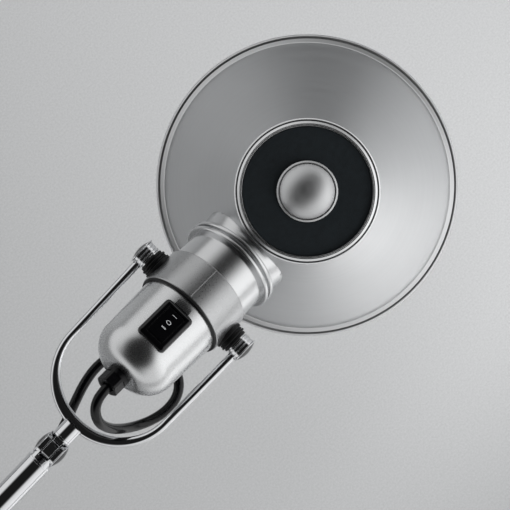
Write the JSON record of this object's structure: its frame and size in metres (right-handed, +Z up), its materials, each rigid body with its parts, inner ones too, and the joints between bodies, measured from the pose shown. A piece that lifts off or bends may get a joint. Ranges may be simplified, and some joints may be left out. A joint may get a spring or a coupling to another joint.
{
  "type": "desk lamp",
  "caption": "Jointed desk lamp: conical metal shade in a wire fork on two tubular arms over a round weighted base, with a rocker switch on the head.",
  "frame": {"origin": "centre of the pad's underside, on the surface that the lamp stands on", "axes": "+X from the base towards the head, +Y to the left of the lamp, +Z up"},
  "size_m": [0.711, 0.2128, 0.4487],
  "materials": {
    "base_weight": "matte",
    "base_shell": "satin",
    "base_pad": "matte",
    "bush_metal": "polished",
    "fastener_steel": "satin",
    "post_metal": "satin",
    "pivot_disc": "polished",
    "friction_washer": "matte",
    "arm_tube": "polished",
    "arm_fitting": "polished",
    "spring_steel": "satin",
    "fork_chrome": "polished",
    "cast_collar": "matte",
    "head_satin": "satin",
    "neck_satin": "satin",
    "shade_satin": "satin",
    "ring_polished": "polished",
    "vent_dark": "matte",
    "knob_satin": "satin",
    "black_plastic": "satin",
    "switch_gloss": "gloss",
    "contact_brass": "satin",
    "lead_rubber": "satin",
    "holder_white": "satin",
    "bracket_zinc": "satin",
    "cap_metal": "satin",
    "bulb_opal": "satin"
  },
  "bodies": {
    "base": {"base_plate": "base_weight", "base_cover": "base_shell", "base_pad": "base_pad", "base_bush": "bush_metal", "base_nut": "fastener_steel"},
    "post_body": {"post": "post_metal", "post_clip": "fastener_steel", "shoulder_bolt": "pivot_disc", "shoulder_nut": "pivot_disc", "shoulder_washers": "friction_washer"},
    "lower_arm": {"lower_arm_tail": "arm_fitting", "lower_arm_fork": "arm_fitting", "lower_arm_tube": "arm_tube", "lower_arm_spring": "spring_steel", "lower_arm_rod": "spring_steel", "lead_inlet": "black_plastic", "elbow_bolt": "pivot_disc", "elbow_nut": "pivot_disc", "elbow_washers": "friction_washer"},
    "upper_arm": {"upper_arm_tail": "arm_fitting", "upper_arm_fork": "arm_fitting", "upper_arm_tube": "arm_tube", "upper_arm_spring": "spring_steel", "upper_arm_rod": "spring_steel", "lead_entry": "black_plastic", "wrist_bolt": "pivot_disc", "wrist_nut": "pivot_disc", "wrist_washers": "friction_washer", "head_lead": "lead_rubber"},
    "knuckle": {"wrist_knuckle": "arm_fitting"},
    "fork": {"fork_wire": "fork_chrome", "stem_sleeve": "fork_chrome", "stem_grub_screw": "fastener_steel", "fork_drums": "fork_chrome"},
    "head": {"collar": "cast_collar", "collar_seal": "black_plastic", "cup_screws": "fastener_steel", "trunnion_washers": "black_plastic", "trunnion_screws": "pivot_disc", "rear_cup": "head_satin", "lead_gland": "black_plastic", "gland_nut": "black_plastic", "switch_frame": "switch_gloss", "switch_body": "switch_gloss", "switch_blades": "contact_brass", "holder_bracket": "bracket_zinc", "lamp_holder": "holder_white", "holder_screws": "fastener_steel", "bulb_cap": "cap_metal", "bulb_glass": "bulb_opal"},
    "rocker": {"switch_rocker": "switch_gloss"},
    "shade_group": {"shade": "shade_satin", "neck": "neck_satin", "neck_snap_ring": "fastener_steel", "neck_saddle": "neck_satin", "vent_ring": "ring_polished", "vent_disc": "vent_dark", "shade_knob": "knob_satin", "knob_bolt": "fastener_steel", "vent_bridge": "vent_dark"}
  },
  "joints": [
    {"name": "base_swivel", "type": "hinge", "parent": "base", "child": "post_body", "pos_m": [0, 0, 0.0232], "axis": [0, 0, 1], "range_deg": [-170, 170]},
    {"name": "shoulder_tilt", "type": "hinge", "parent": "post_body", "child": "lower_arm", "pos_m": [0, 0, 0.0592], "axis": [0, 1, 0], "range_deg": [-30, 60]},
    {"name": "elbow_tilt", "type": "hinge", "parent": "lower_arm", "child": "upper_arm", "pos_m": [-0.11125, 0, 0.40158], "axis": [0, -1, 0], "range_deg": [-30, 60]},
    {"name": "wrist_tilt", "type": "hinge", "parent": "upper_arm", "child": "knuckle", "pos_m": [0.28875, 0, 0.40158], "axis": [0, 1, 0], "range_deg": [-65, 65], "deforming": ["head_lead"]},
    {"name": "fork_swivel", "type": "hinge", "parent": "knuckle", "child": "fork", "pos_m": [0.29875, 0, 0.40158], "axis": [1, 0, 0], "range_deg": [-90, 90], "deforming": ["head_lead"]},
    {"name": "head_tilt", "type": "hinge", "parent": "fork", "child": "head", "pos_m": [0.40775, 0, 0.40158], "axis": [0, 1, 0], "range_deg": [-75, 45], "deforming": ["head_lead"]},
    {"name": "switch_rock", "type": "hinge", "parent": "head", "child": "rocker", "pos_m": [0.38976, 0, 0.43764], "axis": [0, 1, 0], "range_deg": [-10, 10]},
    {"name": "shade_turn", "type": "hinge", "parent": "head", "child": "shade_group", "pos_m": [0.40775, 0, 0.40158], "axis": [0.8729, 0, -0.4879], "range_deg": [-150, 150]}
  ]
}
